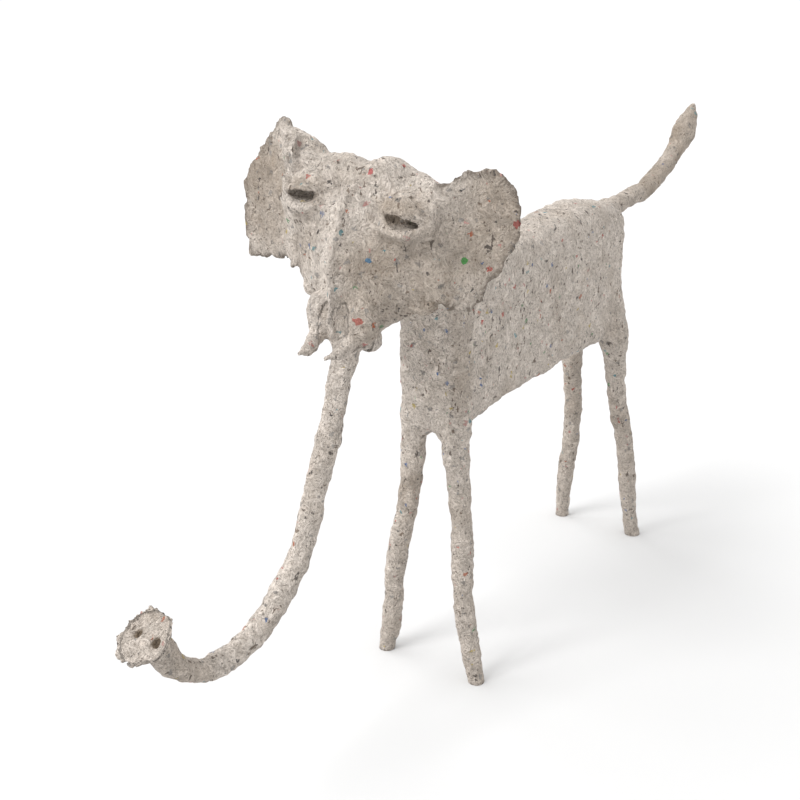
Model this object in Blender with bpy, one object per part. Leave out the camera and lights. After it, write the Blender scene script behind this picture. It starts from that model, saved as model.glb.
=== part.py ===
"""A standing elephant in grey paper pulp: slab body, stick legs, wedge head, torn ears and a long trunk.

Metres, +Z up. The animal faces -Y and its left side is at +X. Each part of the figure is a closed
skin; the skins overlap, and a voxel remesh fuses them into the one solid that the figure is.
"""
import math

import bmesh
import bpy
import numpy as np
from mathutils import Matrix, Vector

# Body: a narrow slab with a flat chest.
BODY_LENGTH = 0.410
BODY_WIDTH = 0.071
BODY_HEIGHT = 0.172
BODY_CORNER = 0.011
BODY_SQUARENESS = 0.33
BELLY_HEIGHT = 0.303
NECK_RADIUS = 0.052

# Legs: straight sticks that lean outwards and towards the ends of the figure.
LEG_RADIUS = 0.0118
FRONT_STANCE = 0.124
HIND_STANCE = 0.114
FRONT_LEAN = 0.019
HIND_LEAN = 0.036
FRONT_LEG_TOP = 0.0175
HIND_LEG_TOP = 0.019

# Head: a wedge whose sharp ridge runs from the crown down into the trunk.
HEAD_HEIGHT = 0.164
HEAD_WIDTH = 0.180
HEAD_DEPTH = 0.160
HEAD_BASE = 0.410
MUZZLE_OVERHANG = 0.154
RIDGE_PINCH = 0.006

# Eyes: heavy lids with a slot between them and a small roll of pulp for the eyeball.
EYE_SPACING = 0.125
EYE_WIDTH = 0.040
EYE_SLOT = 0.0095
EYEBALL_RADIUS = 0.0072

# Ears: cupped sheets with torn rims, swept back.
EAR_REACH = 0.107
EAR_THICKNESS = 0.0075
EAR_SWEEP = math.radians(28)
EAR_LEAN = math.radians(2)
EAR_CUP = 0.014

# Trunk, tusks and tail.
TRUNK_RADIUS = 0.0117
TRUNK_REACH = 0.270
TRUNK_DROP = 0.262
TRUNK_END_RADIUS = 0.027
TRUNK_END_TILT = math.radians(53)
NOSTRIL_RADIUS = 0.0036
NOSTRIL_SPACING = 0.0216
NOSTRIL_DEPTH = 0.009
CHIN_RADIUS = 0.0125
TUSK_LENGTH = 0.052
TUSK_RADIUS = 0.0082
TUSK_SPACING = 0.044
TAIL_RADIUS = 0.0130
TAIL_REACH = 0.290
TAIL_RISE = 0.112

# Mesh resolution.
VOXEL = 0.003
SMOOTHING_PASSES = 3
TRIANGLE_BUDGET = 9600


def smooth_path(points, count):
    """Sample a smooth curve that runs through a few chosen points."""
    points = np.asarray(points, float)
    padded = np.vstack([2 * points[0] - points[1], points, 2 * points[-1] - points[-2]])
    samples = []
    for step in np.linspace(0, len(points) - 1, count):
        i = min(int(step), len(points) - 2)
        t = step - i
        a, b, c, d = padded[i:i + 4]
        samples.append(0.5 * (2 * b + (c - a) * t + (2 * a - 5 * b + 4 * c - d) * t ** 2
                              + (3 * b - a - 3 * c + d) * t ** 3))
    return np.array(samples)


def profile(pairs, t):
    """Read a smooth curve of value against position, given as a few (position, value) pairs."""
    positions, values = np.array(pairs, float).T
    curve = smooth_path(np.column_stack([positions, values]), 80)
    return np.interp(t, curve[:, 0], curve[:, 1])


def add_loft(bm, rings):
    """Skin a row of rings that have the same number of points, and close both ends."""
    rows = [[bm.verts.new(point) for point in ring] for ring in rings]
    for low, high in zip(rows, rows[1:]):
        for i, corner in enumerate(low):
            j = (i + 1) % len(low)
            bm.faces.new((corner, low[j], high[j], high[i]))
    for row in (rows[0], rows[-1]):
        middle = bm.verts.new(sum((vertex.co for vertex in row), Vector()) / len(row))
        for i, corner in enumerate(row):
            bm.faces.new((corner, row[(i + 1) % len(row)], middle))


def add_tube(bm, path, radii, sides=20):
    """Skin a round limb along a path."""
    path = np.asarray(path, float)
    tangents = np.gradient(path, axis=0)
    rings = []
    for point, tangent, radius in zip(path, tangents, radii):
        along = Vector(tangent).normalized()
        side = (Vector((1, 0, 0)) - along * along.x).normalized()
        other = along.cross(side)
        turns = (2 * math.pi * k / sides for k in range(sides))
        rings.append([Vector(point) + (side * math.cos(a) + other * math.sin(a)) * radius for a in turns])
    add_loft(bm, rings)


def add_ellipsoid(bm, centre, radii):
    """Add one rounded lump of pulp."""
    placing = Matrix.Translation(centre) @ Matrix.Diagonal((*radii, 1))
    bmesh.ops.create_uvsphere(bm, u_segments=24, v_segments=14, radius=1, matrix=placing)


def knobs(t, seed, depth=0.09):
    """Uneven thickness of a limb wrapped by hand, as a factor on its radius."""
    waves = ((3.1, 0.45), (6.7, 0.35), (12.3, 0.20))
    return 1 + depth * sum(share * math.sin(2 * math.pi * rate * t + 1.7 * seed * rate) for rate, share in waves)


def body_front():
    return -0.517 * BODY_LENGTH


def add_body(bm):
    """Slab body: flat chest, rounded corners, a slightly raised rump and a belly that sags at the chest."""
    back = ((0, 0.985), (0.3, 0.985), (0.6, 1.01), (0.8, 1.05), (0.92, 1.01), (1, 0.93))
    belly = ((0, -0.115), (0.05, -0.11), (0.10, -0.085), (0.2, -0.05), (0.6, -0.025), (0.85, -0.03), (1, -0.05))
    width = ((0, 1.13), (0.3, 1.04), (0.7, 1.05), (0.9, 1.0), (1, 0.92))
    insets = [(BODY_CORNER * (1 - math.cos(a)), BODY_CORNER * (1 - math.sin(a)))
              for a in (0, math.pi / 6, math.pi / 3)]
    stations = [(along, inset) for along, inset in insets]
    stations += [(along, 0) for along in np.linspace(BODY_CORNER, BODY_LENGTH - BODY_CORNER, 14)]
    stations += [(BODY_LENGTH - along, inset) for along, inset in reversed(insets)]
    rings = []
    for along, inset in stations:
        t = along / BODY_LENGTH
        half = BODY_WIDTH / 2 * profile(width, t) - inset
        low = BELLY_HEIGHT + BODY_HEIGHT * profile(belly, t) + inset
        high = BELLY_HEIGHT + BODY_HEIGHT * profile(back, t) - inset
        ring = []
        for k in range(40):
            a = 2 * math.pi * k / 40
            x = math.copysign(abs(math.cos(a)) ** BODY_SQUARENESS, math.cos(a))
            z = math.copysign(abs(math.sin(a)) ** BODY_SQUARENESS, math.sin(a))
            ring.append((half * x, body_front() + along, (low + high) / 2 + (high - low) / 2 * z))
        rings.append(ring)
    add_loft(bm, rings)


def add_leg(bm, side, front):
    """One leg, from inside the body's corner down past the floor, where it is cut flat."""
    seed = 1 + (side > 0) + 2 * (not front)
    top_radius = FRONT_LEG_TOP if front else HIND_LEG_TOP
    inward = 1 if front else -1
    end = body_front() if front else body_front() + BODY_LENGTH
    hip_x = (0.36 if front else 0.415) * BODY_WIDTH
    foot_x = (FRONT_STANCE if front else HIND_STANCE) / 2
    hip_y = end + inward * 1.17 * LEG_RADIUS
    lean = FRONT_LEAN if front else HIND_LEAN
    thickness = ((-0.1, 0.86), (0, 0.86), (0.3, 1.0), (0.6, 1.03), (0.78, 1.1), (0.9, 1.25),
                 (1, top_radius / LEG_RADIUS), (1.3, 0.6))
    path, radii = [], []
    for t in np.linspace(-0.04, 1.3, 36):
        radius = LEG_RADIUS * profile(thickness, t)
        bow = 0.34 * LEG_RADIUS * math.sin(math.pi * min(t, 1))
        sway = 0.135 * LEG_RADIUS * math.sin(9.4 * t + seed)
        x = side * (foot_x + (hip_x - foot_x) * t - bow) + sway
        y = hip_y - inward * (lean * (1 - t) - abs(radius - LEG_RADIUS)) + sway
        path.append((x, y, t * BELLY_HEIGHT))
        radii.append(radius * knobs(t, seed))
    add_tube(bm, path, radii)


def head_ring(height):
    """One level slice of the head: ridge in front, flat face planes, cheeks, and a back that meets the neck."""
    ridge = ((0, 0.10), (0.12, 0.03), (0.29, 0.0), (0.55, 0.03), (0.71, 0.10), (0.81, 0.15), (0.88, 0.225),
             (0.95, 0.33), (1, 0.46))
    cheek_width = ((0, 0.10), (0.06, 0.16), (0.12, 0.28), (0.18, 0.46), (0.23, 0.62), (0.29, 0.80), (0.34, 0.90),
                   (0.55, 0.93), (0.79, 0.98), (0.88, 0.98), (0.95, 0.87), (1, 0.62))
    cheek_depth = ((0, 0.20), (0.12, 0.29), (0.2, 0.32), (0.29, 0.36), (0.38, 0.34), (0.55, 0.30), (0.79, 0.245),
                   (0.88, 0.28), (0.95, 0.34), (1, 0.42))
    back_depth = ((0, 0.30), (0.12, 0.37), (0.2, 0.46), (0.29, 0.62), (0.38, 0.85), (0.55, 0.98), (0.7, 0.90),
                  (0.82, 0.74), (0.91, 0.61), (1, 0.53))
    front = body_front() - MUZZLE_OVERHANG
    half = HEAD_WIDTH / 2
    tip = profile(ridge, height)
    cheek = Vector((half * profile(cheek_width, height), profile(cheek_depth, height)))
    back = profile(back_depth, height)
    flank = Vector((cheek.x * 0.93, cheek.y + 0.45 * (back - cheek.y)))
    pinch = RIDGE_PINCH / HEAD_DEPTH
    face = []
    for t in np.linspace(0, 1, 9):
        sunk = tip + (cheek.y - tip) * t + pinch * (1 - math.exp(-9 * t)) * (1 - t)
        face.append((cheek.x * t, sunk))
    turn = smooth_path([face[-2], cheek, flank, (flank.x * 0.66, back), (0, back)], 17)[5:]
    half_outline = face + [tuple(point) for point in turn]
    outline = half_outline + [(-x, depth) for x, depth in reversed(half_outline[1:-1])]
    level = HEAD_BASE + HEAD_HEIGHT * height
    return [(x, front + depth * HEAD_DEPTH, level) for x, depth in outline]


def add_head(bm):
    add_loft(bm, [head_ring(height) for height in np.linspace(0, 1, 25)])
    front = body_front() - MUZZLE_OVERHANG
    for across, half in ((0.10, 0.16), (-0.20, 0.24)):
        dome = (across * HEAD_WIDTH, front + 0.44 * HEAD_DEPTH, HEAD_BASE + 0.93 * HEAD_HEIGHT)
        add_ellipsoid(bm, dome, (half * HEAD_WIDTH, 0.16 * HEAD_DEPTH, 0.145 * HEAD_HEIGHT))
    for side in (-1, 1):
        muzzle = (side * 0.62 * TUSK_SPACING, front + 0.10 * HEAD_DEPTH, HEAD_BASE + 0.20 * HEAD_HEIGHT)
        add_ellipsoid(bm, muzzle, (0.10 * HEAD_WIDTH, 0.10 * HEAD_DEPTH, 0.125 * HEAD_HEIGHT))
        jowl = (side * 0.35 * HEAD_WIDTH, front + 0.36 * HEAD_DEPTH, HEAD_BASE + 0.29 * HEAD_HEIGHT)
        add_ellipsoid(bm, jowl, (0.08 * HEAD_WIDTH, 0.08 * HEAD_DEPTH, 0.07 * HEAD_HEIGHT))
    chin = (0.02 * HEAD_WIDTH, front + 0.33 * HEAD_DEPTH, HEAD_BASE + 0.03 * HEAD_HEIGHT)
    add_ellipsoid(bm, chin, (CHIN_RADIUS, CHIN_RADIUS, CHIN_RADIUS))


def add_neck(bm):
    """Short thick neck between the back of the head and the top of the chest."""
    shares = ((-0.41, 0.32), (-0.125, 0.047), (0.22, -0.215), (0.56, -0.29))
    path = smooth_path([(0, body_front() + back * HEAD_DEPTH, BELLY_HEIGHT + (1 + rise) * BODY_HEIGHT)
                        for back, rise in shares], 12)
    add_tube(bm, path, np.linspace(1, 0.69, 12) * NECK_RADIUS, sides=28)


def eye_place(side, forward=0.0, up=0.0):
    """A point at an eye, moved by shares of its width; the right eye sits higher and further back."""
    front = body_front() - MUZZLE_OVERHANG
    across, back, height = (0.5, 0.150, 0.765) if side > 0 else (-0.45, 0.185, 0.835)
    centre = Vector((across * EYE_SPACING, front + back * HEAD_DEPTH, HEAD_BASE + height * HEAD_HEIGHT))
    return centre + Vector((0, -forward, up)) * EYE_WIDTH


def add_eyelids(bm, side):
    """A bulge for the whole eye, and over the slot the lip of the heavy upper lid."""
    add_ellipsoid(bm, eye_place(side, -0.32, 0.075), Vector((0.71, 0.375, 0.55)) * EYE_WIDTH)
    add_ellipsoid(bm, eye_place(side, -0.15, 0.225), Vector((0.58, 0.275, 0.25)) * EYE_WIDTH)
    add_ellipsoid(bm, eye_place(side, -0.10, -0.225), Vector((0.43, 0.225, 0.15)) * EYE_WIDTH)


def add_eye_slot(bm, side):
    add_ellipsoid(bm, eye_place(side, 0.10), (0.5 * EYE_WIDTH, 0.42 * EYE_WIDTH, 0.5 * EYE_SLOT))


def add_eyeball(bm, side):
    add_ellipsoid(bm, eye_place(side, -0.175), Vector((1, 1, 0.8)) * EYEBALL_RADIUS)


def ear_root(side):
    """Where an ear leaves the head, beside the eye, and the directions out along it, up it and forward."""
    front = body_front() - MUZZLE_OVERHANG
    origin = Vector((side * HEAD_WIDTH * 0.478, front + 0.31 * HEAD_DEPTH, HEAD_BASE + 0.55 * HEAD_HEIGHT))
    out = Vector((side * math.cos(EAR_SWEEP), math.sin(EAR_SWEEP), 0))
    level_back = Vector((-side * math.sin(EAR_SWEEP), math.cos(EAR_SWEEP), 0))
    up = Vector((0, 0, math.cos(EAR_LEAN))) + level_back * math.sin(EAR_LEAN)
    forward = Vector((0, 0, math.sin(EAR_LEAN))) - level_back * math.cos(EAR_LEAN)
    return origin, out, up, forward


def ear_outline(side):
    """Rim of an ear, from (out, up) shares of its reach: the left ear has two lobes, the right a peak."""
    left = ((-0.11, -0.28), (0.02, -0.36), (0.21, -0.44), (0.32, -0.40), (0.38, -0.21), (0.51, -0.07),
            (0.64, 0.17), (0.67, 0.32), (0.62, 0.54), (0.50, 0.71), (0.33, 0.73), (0.15, 0.69),
            (-0.09, 0.54), (-0.15, 0.09))
    right = ((-0.11, -0.19), (0.38, -0.22), (0.67, -0.26), (0.93, -0.25), (0.98, 0.05), (0.97, 0.34),
             (0.94, 0.52), (0.82, 0.73), (0.63, 0.95), (0.44, 1.07), (0.28, 1.00), (0.09, 0.79),
             (-0.11, 0.56), (-0.15, 0.19))
    points = left if side > 0 else right
    closed = points[-1:] + points + points[:2]
    return EAR_REACH * smooth_path(closed, 12 * (len(points) + 2) + 1)[12:-12 * 2]


def add_ear(bm, side):
    """A cupped sheet: rings of points from its middle to its rim, on the front and on the back."""
    origin, out, up, forward = ear_root(side)
    outline = ear_outline(side)
    middle = outline.mean(axis=0)
    rings = []
    shares = [s / 8 for s in range(1, 9)]
    for face, fractions in ((1, shares), (-1, reversed(shares))):
        for share in fractions:
            rounding = math.sqrt(1 - (share * 0.96) ** 6)
            ring = []
            for k, rim in enumerate(outline):
                ripple = 1 + 0.02 * share * math.sin(0.45 * k + side) + 0.03 * (face > 0) * (share == 1)
                across, rise = middle + (rim - middle) * share * ripple
                curl = EAR_CUP * ((max(across, 0) / (0.42 * EAR_REACH) - 1) ** 2 - 1)
                lift = curl + face * EAR_THICKNESS / 2 * rounding
                ring.append(origin + out * across + up * rise + forward * lift)
            rings.append(ring)
    add_loft(bm, rings)


def add_ear_web(bm, side):
    """Pulp that ties an ear's upper edge to the crown; on the right it climbs to the ear's peak."""
    front = body_front() - MUZZLE_OVERHANG
    left = ((0.30, 0.90), (0.40, 0.85), (0.46, 0.80), (0.52, 0.74))
    right = ((0.26, 0.98), (0.36, 1.02), (0.41, 1.09), (0.50, 1.145), (0.62, 1.185))
    edge = left if side > 0 else right
    for drop in (0, 0.10, 0.20, 0.29):
        points = []
        for across, height in edge:
            back = 0.49 - 0.045 * across - 0.3 * drop * (0.62 - across)
            points.append((side * across * HEAD_WIDTH, front + back * HEAD_DEPTH,
                           HEAD_BASE + (height - drop) * HEAD_HEIGHT))
        add_tube(bm, smooth_path(points, 8), np.linspace(1.5, 0.75, 8) * EAR_THICKNESS)
    across, height = edge[2]
    root = (side * across * HEAD_WIDTH, front + 0.40 * HEAD_DEPTH, HEAD_BASE + (height - 0.14) * HEAD_HEIGHT)
    add_ellipsoid(bm, root, (0.11 * HEAD_WIDTH, 0.09 * HEAD_DEPTH, 0.13 * HEAD_HEIGHT))


def trunk_path():
    shares = ((0.00, 0.00), (0.022, 0.103), (0.070, 0.248), (0.126, 0.385), (0.215, 0.573), (0.285, 0.733),
              (0.381, 0.859), (0.563, 0.985), (0.763, 1.00), (0.896, 0.924), (0.975, 0.80))
    root_y = body_front() - MUZZLE_OVERHANG + 0.1625 * HEAD_DEPTH
    root_z = HEAD_BASE + 0.18 * HEAD_HEIGHT
    points = [(0, root_y - TRUNK_REACH * reach, root_z - TRUNK_DROP * drop) for reach, drop in shares]
    return smooth_path(points, 60)


def add_trunk(bm):
    path = trunk_path()
    thickness = ((0, 1.9), (0.06, 1.45), (0.14, 1.08), (0.3, 1.0), (0.9, 1.0), (1, 1.1))
    steps = np.linspace(0, 1, len(path))
    add_tube(bm, path, [TRUNK_RADIUS * profile(thickness, t) * knobs(t, 5) for t in steps])


def trunk_end():
    """Centre of the flared end's face, and the direction it looks in."""
    axis = Vector((0, -math.cos(TRUNK_END_TILT), math.sin(TRUNK_END_TILT)))
    return Vector(trunk_path()[-1]) + axis * TRUNK_END_RADIUS * 0.62, axis


def add_trunk_end(bm):
    """Flared, dished end of the trunk, like a small saucer."""
    face, axis = trunk_end()
    side = Vector((1, 0, 0))
    other = axis.cross(side)
    outline = ((0.45, -0.60), (0.50, -0.42), (0.66, -0.24), (0.88, -0.09), (1.0, 0.0), (0.98, 0.06), (0.86, 0.03),
               (0.60, -0.04), (0.30, -0.07))
    rings = []
    for share, along in outline:
        ring = []
        for k in range(32):
            a = 2 * math.pi * k / 32
            radius = TRUNK_END_RADIUS * share * (1 + 0.05 * share ** 2 * math.sin(3 * a + 1) * math.sin(5 * a))
            lift = 0.075 * share ** 3 * math.sin(4 * a)
            ring.append(face + axis * (along + lift) * TRUNK_END_RADIUS
                        + side * (radius * math.cos(a)) + other * (radius * math.sin(a)))
        rings.append(ring)
    add_loft(bm, rings)


def add_nostril(bm, side):
    face, axis = trunk_end()
    place = face + Vector((side * NOSTRIL_SPACING / 2, 0, 0)) + axis * 0.44 * NOSTRIL_DEPTH
    turn = axis.to_track_quat("Z", "Y").to_matrix().to_4x4()
    bmesh.ops.create_cone(bm, cap_ends=True, segments=12, radius1=NOSTRIL_RADIUS * 0.8, radius2=NOSTRIL_RADIUS,
                          depth=2 * NOSTRIL_DEPTH, matrix=Matrix.Translation(place) @ turn)


def add_tusk(bm, side):
    """Short tusk beside the trunk's root, curving down and then forward."""
    front = body_front() - MUZZLE_OVERHANG
    root = Vector((side * TUSK_SPACING / 2, front + 0.0875 * HEAD_DEPTH, HEAD_BASE + 0.23 * HEAD_HEIGHT))
    bends = ((0, 0, 0), (-0.02, -0.10, -0.30), (-0.07, -0.42, -0.52), (-0.14, -0.84, -0.54))
    points = [root + TUSK_LENGTH * Vector((side * x, y, z)) for x, y, z in bends]
    path = smooth_path(points, 14)
    thickness = ((0, 1.15), (0.35, 1.0), (0.7, 0.72), (1, 0.25))
    add_tube(bm, path, [TUSK_RADIUS * profile(thickness, t) for t in np.linspace(0, 1, 14)])


def add_tail(bm):
    """Tail raised behind the rump, with a leaf-shaped tuft."""
    shares = ((-0.12, -0.12), (0, -0.02), (0.13, 0.0), (0.24, 0.03), (0.45, 0.08), (0.655, 0.277), (0.80, 0.46),
              (0.90, 0.69), (1.0, 1.0))
    root_y = body_front() + 0.99 * BODY_LENGTH
    root_z = BELLY_HEIGHT + BODY_HEIGHT * 0.92
    points = [(0, root_y + TAIL_REACH * back, root_z + TAIL_RISE * rise) for back, rise in shares]
    path = smooth_path(points, 50)
    thickness = ((0, 1.3), (0.15, 1.05), (0.3, 0.95), (0.6, 1.0), (0.72, 0.95), (0.85, 1.28), (0.93, 1.0),
                 (1, 0.18))
    steps = np.linspace(0, 1, len(path))
    add_tube(bm, path, [TAIL_RADIUS * profile(thickness, t) * knobs(t, 8, 0.05) for t in steps])


def object_from(name, *builders):
    """Run builders, each a function with its arguments, into one mesh object."""
    bm = bmesh.new()
    for build, *arguments in builders:
        build(bm, *arguments)
    bmesh.ops.recalc_face_normals(bm, faces=bm.faces[:])
    mesh = bpy.data.meshes.new(name)
    bm.to_mesh(mesh)
    bm.free()
    made = bpy.data.objects.new(name, mesh)
    bpy.context.scene.collection.objects.link(made)
    return made


def apply_modifiers(target):
    """Replace an object's mesh by what its modifiers make of it."""
    bpy.context.view_layer.update()
    result = bpy.data.meshes.new_from_object(target.evaluated_get(bpy.context.evaluated_depsgraph_get()))
    target.modifiers.clear()
    target.data = result


def remesh(target, voxel):
    modifier = target.modifiers.new("fuse", "REMESH")
    modifier.mode = "VOXEL"
    modifier.voxel_size = voxel
    apply_modifiers(target)


def cut(target, cutter):
    """Take one object's shape out of another, and drop the cutter."""
    modifier = target.modifiers.new("cut", "BOOLEAN")
    modifier.operation = "DIFFERENCE"
    modifier.object = cutter
    apply_modifiers(target)
    bpy.data.objects.remove(cutter)


def join_skin(target, other):
    """Add another object's skin to the target's mesh."""
    bm = bmesh.new()
    bm.from_mesh(target.data)
    bm.from_mesh(other.data)
    bm.to_mesh(target.data)
    bm.free()
    bpy.data.objects.remove(other)


def keep_outer_skin(target):
    """Drop specks and sealed inner voids, so that only the figure's own skin is left."""
    bm = bmesh.new()
    bm.from_mesh(target.data)
    unseen = set(bm.verts)
    skins = []
    while unseen:
        skin, edge = set(), [unseen.pop()]
        while edge:
            vertex = edge.pop()
            skin.add(vertex)
            near = {link.other_vert(vertex) for link in vertex.link_edges} & unseen
            unseen -= near
            edge.extend(near)
        skins.append(skin)
    largest = max(skins, key=len)
    bmesh.ops.delete(bm, geom=[vertex for vertex in bm.verts if vertex not in largest], context="VERTS")
    bm.to_mesh(target.data)
    bm.free()


def floor_block():
    """Everything below the floor, to cut the feet flat."""
    bm = bmesh.new()
    bmesh.ops.create_cube(bm, size=1, matrix=Matrix.Translation((0, 0, -0.5)))
    mesh = bpy.data.meshes.new("floor_block")
    bm.to_mesh(mesh)
    bm.free()
    block = bpy.data.objects.new("floor_block", mesh)
    bpy.context.scene.collection.objects.link(block)
    return block


def pulp_material():
    material = bpy.data.materials.new("paper_pulp")
    material.use_nodes = True
    shader = material.node_tree.nodes["Principled BSDF"]
    shader.inputs["Base Color"].default_value = (0.50, 0.45, 0.40, 1)
    shader.inputs["Roughness"].default_value = 0.95
    shader.inputs["Metallic"].default_value = 0.0
    return material


def centre_on_floor(target):
    """Put the middle of the figure's bounding box over the origin."""
    corners = np.array([vertex.co for vertex in target.data.vertices])
    middle = (corners.min(axis=0) + corners.max(axis=0)) / 2
    target.data.transform(Matrix.Translation((-middle[0], -middle[1], 0)))


def build_elephant():
    sides = (-1, 1)
    elephant = object_from(
        "elephant", (add_body,), (add_head,), (add_neck,), (add_trunk,), (add_trunk_end,), (add_tail,),
        *[(add_leg, side, front) for side in sides for front in (True, False)],
        *[(add_tusk, side) for side in sides],
        *[(add_ear, side) for side in sides],
        *[(add_ear_web, side) for side in sides],
        *[(add_eyelids, side) for side in sides])
    remesh(elephant, VOXEL)
    cut(elephant, object_from("eye_slots", *[(add_eye_slot, side) for side in sides]))
    join_skin(elephant, object_from("eyeballs", *[(add_eyeball, side) for side in sides]))
    remesh(elephant, VOXEL)
    keep_outer_skin(elephant)
    smoothing = elephant.modifiers.new("smooth", "SMOOTH")
    smoothing.factor = 0.5
    smoothing.iterations = SMOOTHING_PASSES
    apply_modifiers(elephant)
    decimate = elephant.modifiers.new("reduce", "DECIMATE")
    decimate.ratio = TRIANGLE_BUDGET / (2 * len(elephant.data.polygons))
    apply_modifiers(elephant)
    cut(elephant, object_from("nostrils", *[(add_nostril, side) for side in sides]))
    cut(elephant, floor_block())
    centre_on_floor(elephant)
    elephant.data.materials.clear()
    elephant.data.materials.append(pulp_material())
    return elephant


def main():
    for item in list(bpy.data.objects):
        bpy.data.objects.remove(item)
    build_elephant()


main()
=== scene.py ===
"""The look of the paper pulp elephant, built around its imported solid.

A dense skin with the solid's form takes the node's place: torn rims, lids, lumps and fibrous relief.
Its material, the pale floor, the lights and the camera follow. Metres, +Z up; the animal faces -Y.
"""

import math

import bmesh
import bpy
import numpy as np
from mathutils import Matrix, Vector
from mathutils.bvhtree import BVHTree


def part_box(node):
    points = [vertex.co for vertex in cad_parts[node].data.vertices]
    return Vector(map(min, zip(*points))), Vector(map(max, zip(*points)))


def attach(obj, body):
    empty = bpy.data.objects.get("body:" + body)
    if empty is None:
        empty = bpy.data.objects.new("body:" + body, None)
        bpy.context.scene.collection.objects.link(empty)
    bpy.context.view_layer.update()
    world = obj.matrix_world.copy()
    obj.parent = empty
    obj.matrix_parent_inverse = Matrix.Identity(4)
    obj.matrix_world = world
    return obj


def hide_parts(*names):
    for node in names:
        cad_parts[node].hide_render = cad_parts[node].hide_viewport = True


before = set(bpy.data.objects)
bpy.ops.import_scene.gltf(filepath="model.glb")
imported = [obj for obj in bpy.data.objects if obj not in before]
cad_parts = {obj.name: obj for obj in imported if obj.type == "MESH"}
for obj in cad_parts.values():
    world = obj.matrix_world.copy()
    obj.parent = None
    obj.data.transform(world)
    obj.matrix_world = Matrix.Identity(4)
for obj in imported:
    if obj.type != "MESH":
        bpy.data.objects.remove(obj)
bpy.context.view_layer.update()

# Body: a narrow slab with a flat chest.
BODY_LENGTH = 0.410
BODY_WIDTH = 0.071
BODY_HEIGHT = 0.172
BODY_CORNER = 0.011
BODY_SQUARENESS = 0.33
BELLY_HEIGHT = 0.303
NECK_RADIUS = 0.052

# Legs: straight sticks that lean outwards and towards the ends of the figure.
LEG_RADIUS = 0.0118
LEG_INSET = 1.17 * LEG_RADIUS
FRONT_STANCE = 0.124
HIND_STANCE = 0.114
FRONT_LEAN = 0.019
HIND_LEAN = 0.036
FRONT_LEG_TOP = 0.0175
HIND_LEG_TOP = 0.019
FRONT_HIP = 0.36 * BODY_WIDTH
HIND_HIP = 0.415 * BODY_WIDTH

# Head: a wedge whose sharp ridge runs from the crown down into the trunk.
HEAD_HEIGHT = 0.164
HEAD_WIDTH = 0.180
HEAD_DEPTH = 0.160
HEAD_BASE = 0.410
MUZZLE_OVERHANG = 0.154
RIDGE_PINCH = 0.006

# Eyes: heavy lids with a slot between them and a small roll of pulp for the eyeball.
EYE_SPACING = 0.125
EYE_WIDTH = 0.040
EYE_SLOT = 0.0095
EYEBALL_RADIUS = 0.0072

# Ears: cupped sheets with torn rims, swept back.
EAR_REACH = 0.107
EAR_THICKNESS = 0.0075
EAR_SWEEP = math.radians(28)
EAR_LEAN = math.radians(2)
EAR_CUP = 0.014
EAR_CUP_MIDDLE = 0.42 * EAR_REACH

# Trunk, tusks and tail.
TRUNK_RADIUS = 0.0117
TRUNK_REACH = 0.270
TRUNK_DROP = 0.262
TRUNK_END_RADIUS = 0.027
TRUNK_END_TILT = math.radians(53)
NOSTRIL_RADIUS = 0.0036
NOSTRIL_SPACING = 0.0216
NOSTRIL_DEPTH = 0.009
CHIN_RADIUS = 0.0125
TUSK_LENGTH = 0.052
TUSK_RADIUS = 0.0082
TUSK_SPACING = 0.044
TAIL_RADIUS = 0.0130
TAIL_REACH = 0.290
TAIL_RISE = 0.112

# Finish of the pulp, in metres.
SKIN_VOXEL = 0.0018
TRIANGLE_BUDGET = 194000
LUMP_SIZE, LUMP_HEIGHT = 0.024, 0.0027
CLOD_SIZE, CLOD_HEIGHT = 0.0085, 0.0022
FIBRE_SIZE, FIBRE_HEIGHT = 0.0045, 0.0008
FORM_SOFTENING, SKIN_SOFTENING = 14, 2
SOLE_FADE = (0.002, 0.012)
RIM_TEAR = 0.0014
RIM_CRUMB_SHARE = 0.24
RIM_CRUMB_RADII = (0.0009, 0.0030)
RIM_CRUMB_STRAY = 0.0015
TORN_REACH, TORN_MARGIN = 0.0045, 0.015
BUMP_DEPTH = 0.0028

# Matted fibres in the finish: width, stretch along the grain, and bend.
COARSE_FIBRES = (0.0050, 2.5, 0.07)
FINE_FIBRES = (0.0021, 4.5, 0.05)
CROSSING_FIBRES = (0.0022, 5.0, 0.06)

# Bits of paper in the finish: size of the cell each lies in, share of cells that have one, its radius
# and its raggedness. Upright and slanted shreds are stretched along the grain; crumbs and blots are not.
GREY_SCRAPS = (0.0098, 0.50, 0.0021, 0.9)
UPRIGHT_SHREDS = (0.0072, 0.50, 0.00122, 1.0)
SLANTED_SHREDS = (0.0075, 0.50, 0.00122, 1.0)
DARK_CRUMBS = (0.0048, 0.32, 0.00080, 1.0)
DARK_BLOTS = (0.0165, 0.40, 0.00240, 1.0)
COLOURED_FLAKES = (0.0112, 0.56, 0.0021, 0.8)

# Larger flakes: place on the model, radius and colour.
MARKS = (
    ((0.122, -0.225, 0.500), 0.0040, (0.06, 0.33, 0.07, 1)),
    ((0.049, -0.289, 0.449), 0.0056, (0.47, 0.13, 0.10, 1)),
    ((0.034, -0.242, 0.574), 0.0044, (0.50, 0.09, 0.09, 1)),
    ((0.048, -0.268, 0.500), 0.0034, (0.07, 0.20, 0.34, 1)),
    ((0.161, -0.202, 0.533), 0.0048, (0.30, 0.07, 0.06, 1)),
    ((0.020, -0.254, 0.554), 0.0034, (0.50, 0.16, 0.08, 1)),
)

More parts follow.
